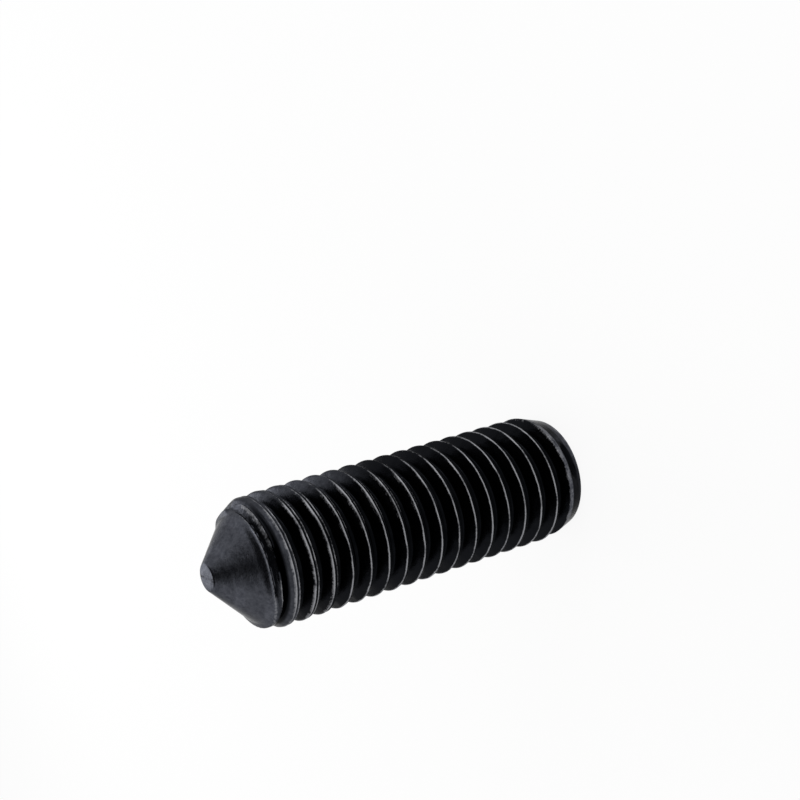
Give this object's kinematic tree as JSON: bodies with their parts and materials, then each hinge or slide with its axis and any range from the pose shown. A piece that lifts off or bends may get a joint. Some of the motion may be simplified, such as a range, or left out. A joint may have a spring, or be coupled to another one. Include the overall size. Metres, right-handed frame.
{
  "type": "grub set screw",
  "caption": "Headless fully threaded rod with a hexagon socket in its flat end and a cut-off cone point, driven in to lock a hub or collar on a shaft.",
  "frame": {"origin": "centre of the flat ring on the socket end, on the surface that the screw stands on", "axes": "+Z along the screw's axis, from the socket end up to the point"},
  "size_m": [0.0078, 0.0078, 0.0245],
  "materials": {
    "black_oxide_steel": "black oxide, satin"
  },
  "bodies": {
    "root": {"set_screw": "black_oxide_steel"}
  },
  "joints": []
}
